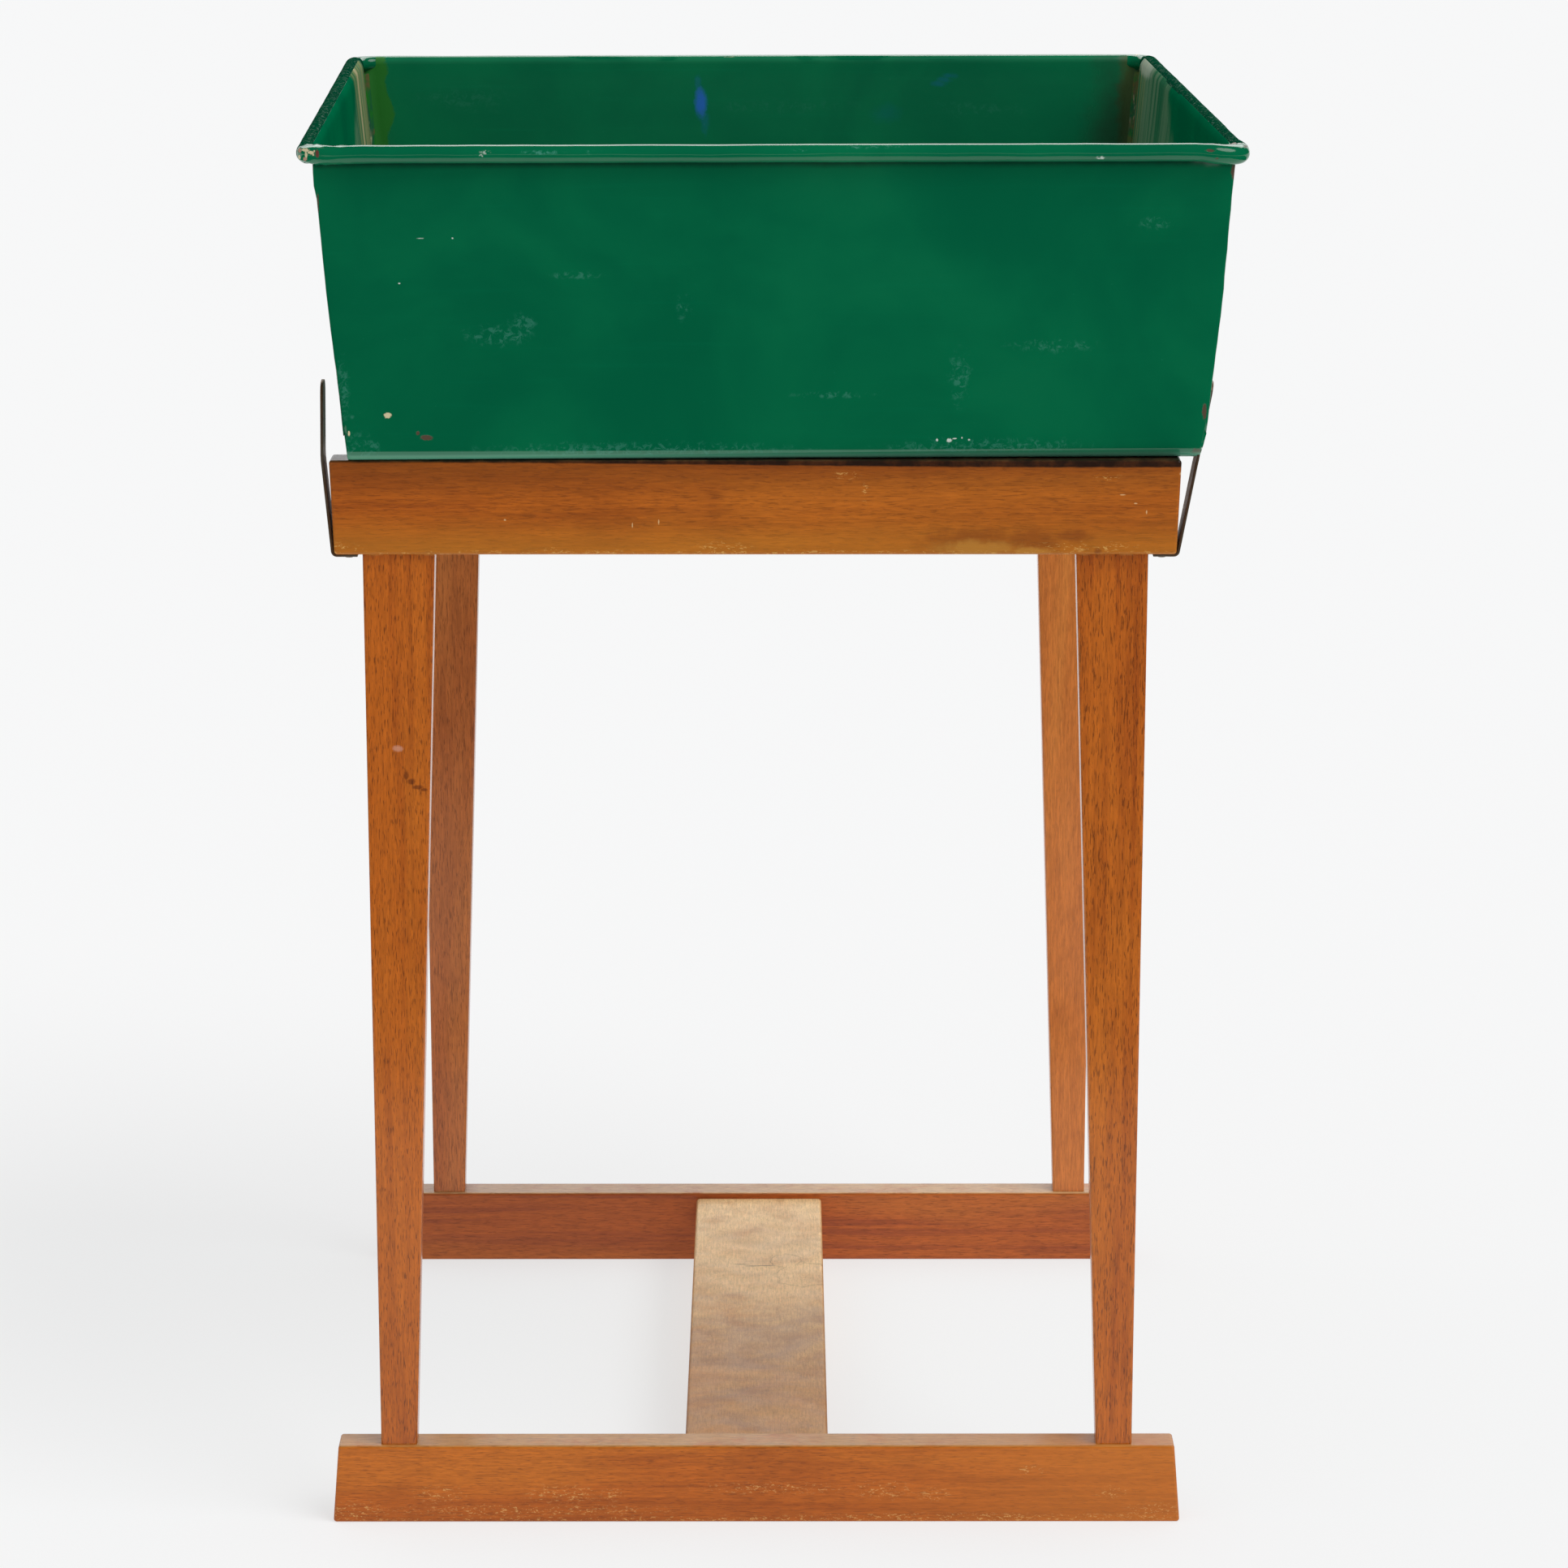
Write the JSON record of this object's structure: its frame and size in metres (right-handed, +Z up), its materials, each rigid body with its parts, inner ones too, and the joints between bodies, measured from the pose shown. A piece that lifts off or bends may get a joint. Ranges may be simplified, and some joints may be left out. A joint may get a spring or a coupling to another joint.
{
  "type": "trough planter on a wooden stand",
  "caption": "Loose sheet-steel trough with a rolled rim, standing on two wooden trestle ends joined by a flat board, kept in place by spring-steel strip clips.",
  "frame": {"origin": "on the floor, in the middle of the wooden stand, under the middle of the stretcher board", "axes": "+Z up; +X to the right along the runners and rails; +Y from the front trestle end to the rear one"},
  "size_m": [0.4364, 0.4676, 0.6531],
  "materials": {
    "stained_wood": "satin",
    "bare_board": "matte",
    "dowel_wood": "matte",
    "green_enamel": "satin",
    "steel_strip": "aged",
    "screw_steel": "aged",
    "wire_steel": "plain",
    "solder": "dull"
  },
  "bodies": {
    "stand": {"front_runner": "stained_wood", "front_left_leg": "stained_wood", "front_right_leg": "stained_wood", "front_top_rail": "stained_wood", "rear_runner": "stained_wood", "rear_left_leg": "stained_wood", "rear_right_leg": "stained_wood", "rear_top_rail": "stained_wood", "stretcher_board": "bare_board", "front_stretcher_dowels": "dowel_wood", "rear_stretcher_dowels": "dowel_wood", "front_left_clip_foot": "steel_strip", "front_left_clip_screw": "screw_steel", "front_right_clip_foot": "steel_strip", "front_right_clip_screw": "screw_steel", "rear_left_clip_foot": "steel_strip", "rear_left_clip_screw": "screw_steel", "rear_right_clip_foot": "steel_strip", "rear_right_clip_screw": "screw_steel"},
    "pan": {"pan_trough_sheet": "green_enamel", "pan_left_side": "green_enamel", "pan_right_side": "green_enamel", "rolled_rim": "green_enamel", "rim_wire": "wire_steel", "corner_solder": "solder"},
    "front_left_clip": {"front_left_clip_arm": "steel_strip"},
    "front_right_clip": {"front_right_clip_arm": "steel_strip"},
    "rear_left_clip": {"rear_left_clip_arm": "steel_strip"},
    "rear_right_clip": {"rear_right_clip_arm": "steel_strip"}
  },
  "joints": [
    {"name": "pan_lift", "type": "slide", "parent": "stand", "child": "pan", "axis": [0, 0, 1], "range_m": [0, 0.2]},
    {"name": "front_left_clip_flex", "type": "hinge", "parent": "stand", "child": "front_left_clip", "pos_m": [-0.19085, -0.2071, 0.4668], "axis": [0, -1, 0], "range_deg": [-2.5, 8], "stiffness_Nm_per_rad": 8},
    {"name": "front_right_clip_flex", "type": "hinge", "parent": "stand", "child": "front_right_clip", "pos_m": [0.19085, -0.2071, 0.4668], "axis": [0, 1, 0], "range_deg": [0, 8], "stiffness_Nm_per_rad": 8},
    {"name": "rear_left_clip_flex", "type": "hinge", "parent": "stand", "child": "rear_left_clip", "pos_m": [-0.19085, 0.2071, 0.4668], "axis": [0, -1, 0], "range_deg": [0, 8], "stiffness_Nm_per_rad": 8},
    {"name": "rear_right_clip_flex", "type": "hinge", "parent": "stand", "child": "rear_right_clip", "pos_m": [0.19085, 0.2071, 0.4668], "axis": [0, 1, 0], "range_deg": [-1, 8], "stiffness_Nm_per_rad": 8}
  ]
}
